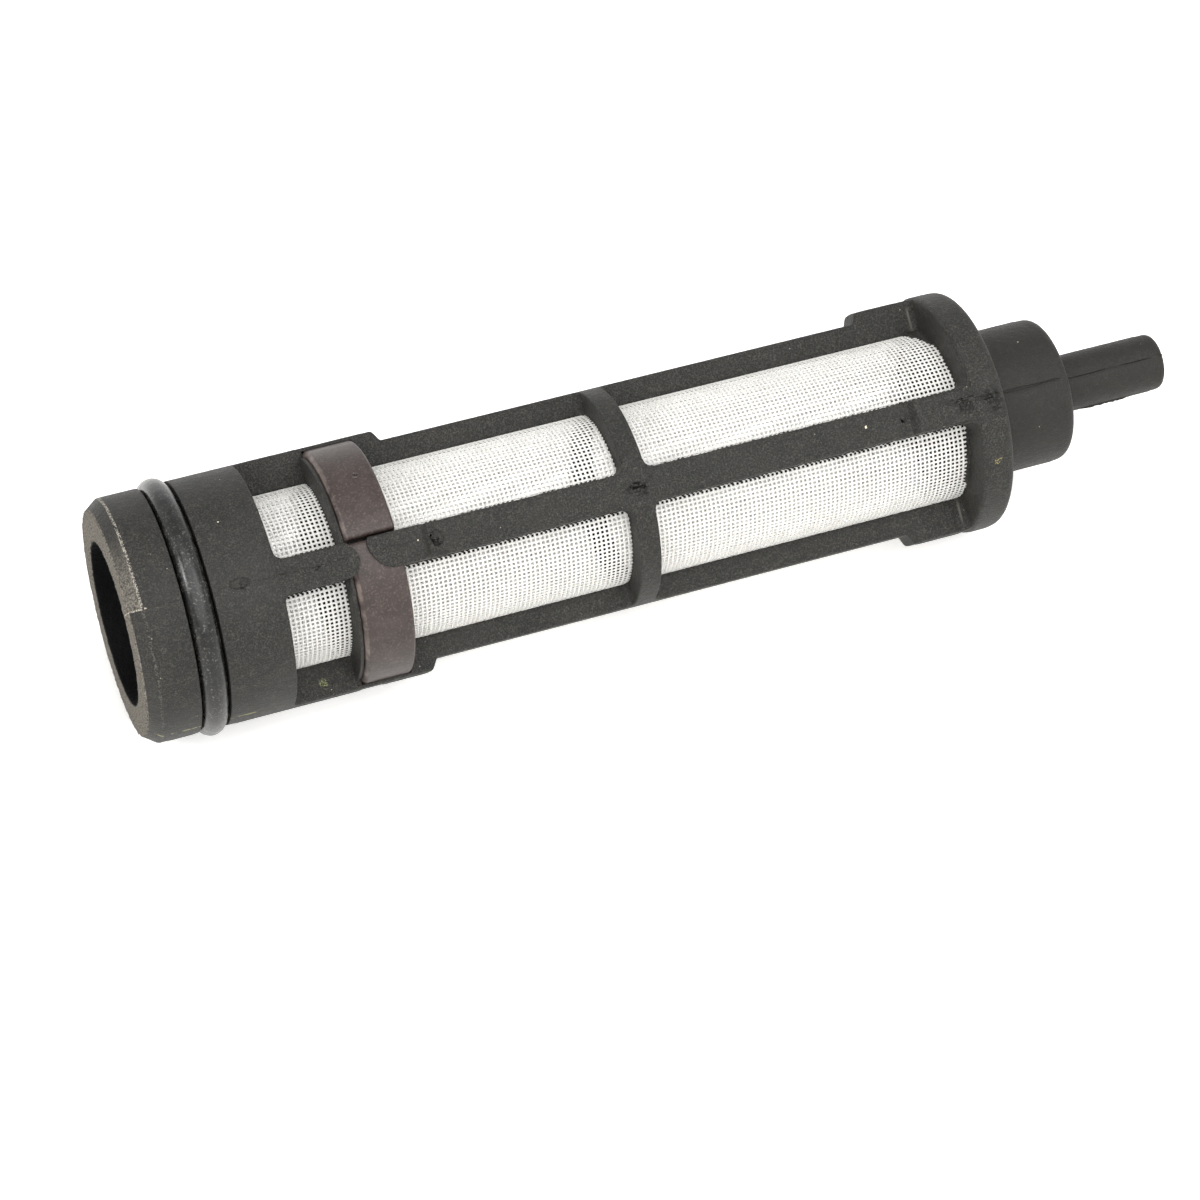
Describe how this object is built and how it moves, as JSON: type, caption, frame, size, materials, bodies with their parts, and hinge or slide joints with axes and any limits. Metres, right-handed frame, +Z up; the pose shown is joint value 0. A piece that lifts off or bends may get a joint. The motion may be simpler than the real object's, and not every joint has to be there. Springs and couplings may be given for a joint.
{
  "type": "oil strainer screen",
  "caption": "Cylindrical oil strainer: moulded plastic cage over a fine mesh sleeve, with a seal ring on the open collar, a magnet band and a closed end with a spigot.",
  "frame": {"origin": "centre of the open collar's end face, on the strainer's axis", "axes": "+X along the axis from the open collar to the spigot, +Z up as the strainer lies on its seal ring and its flange"},
  "size_m": [0.1279, 0.0294, 0.0294],
  "materials": {
    "black_nylon": "moulded, fine grain",
    "white_mesh": "plain woven monofilament",
    "brown_magnet": "matt bonded ferrite",
    "seal_rubber": "smooth, slightly shiny"
  },
  "bodies": {
    "root": {"cage": "black_nylon", "mesh_sleeve": "white_mesh", "magnet_band": "brown_magnet", "seal_ring": "seal_rubber"}
  },
  "joints": []
}
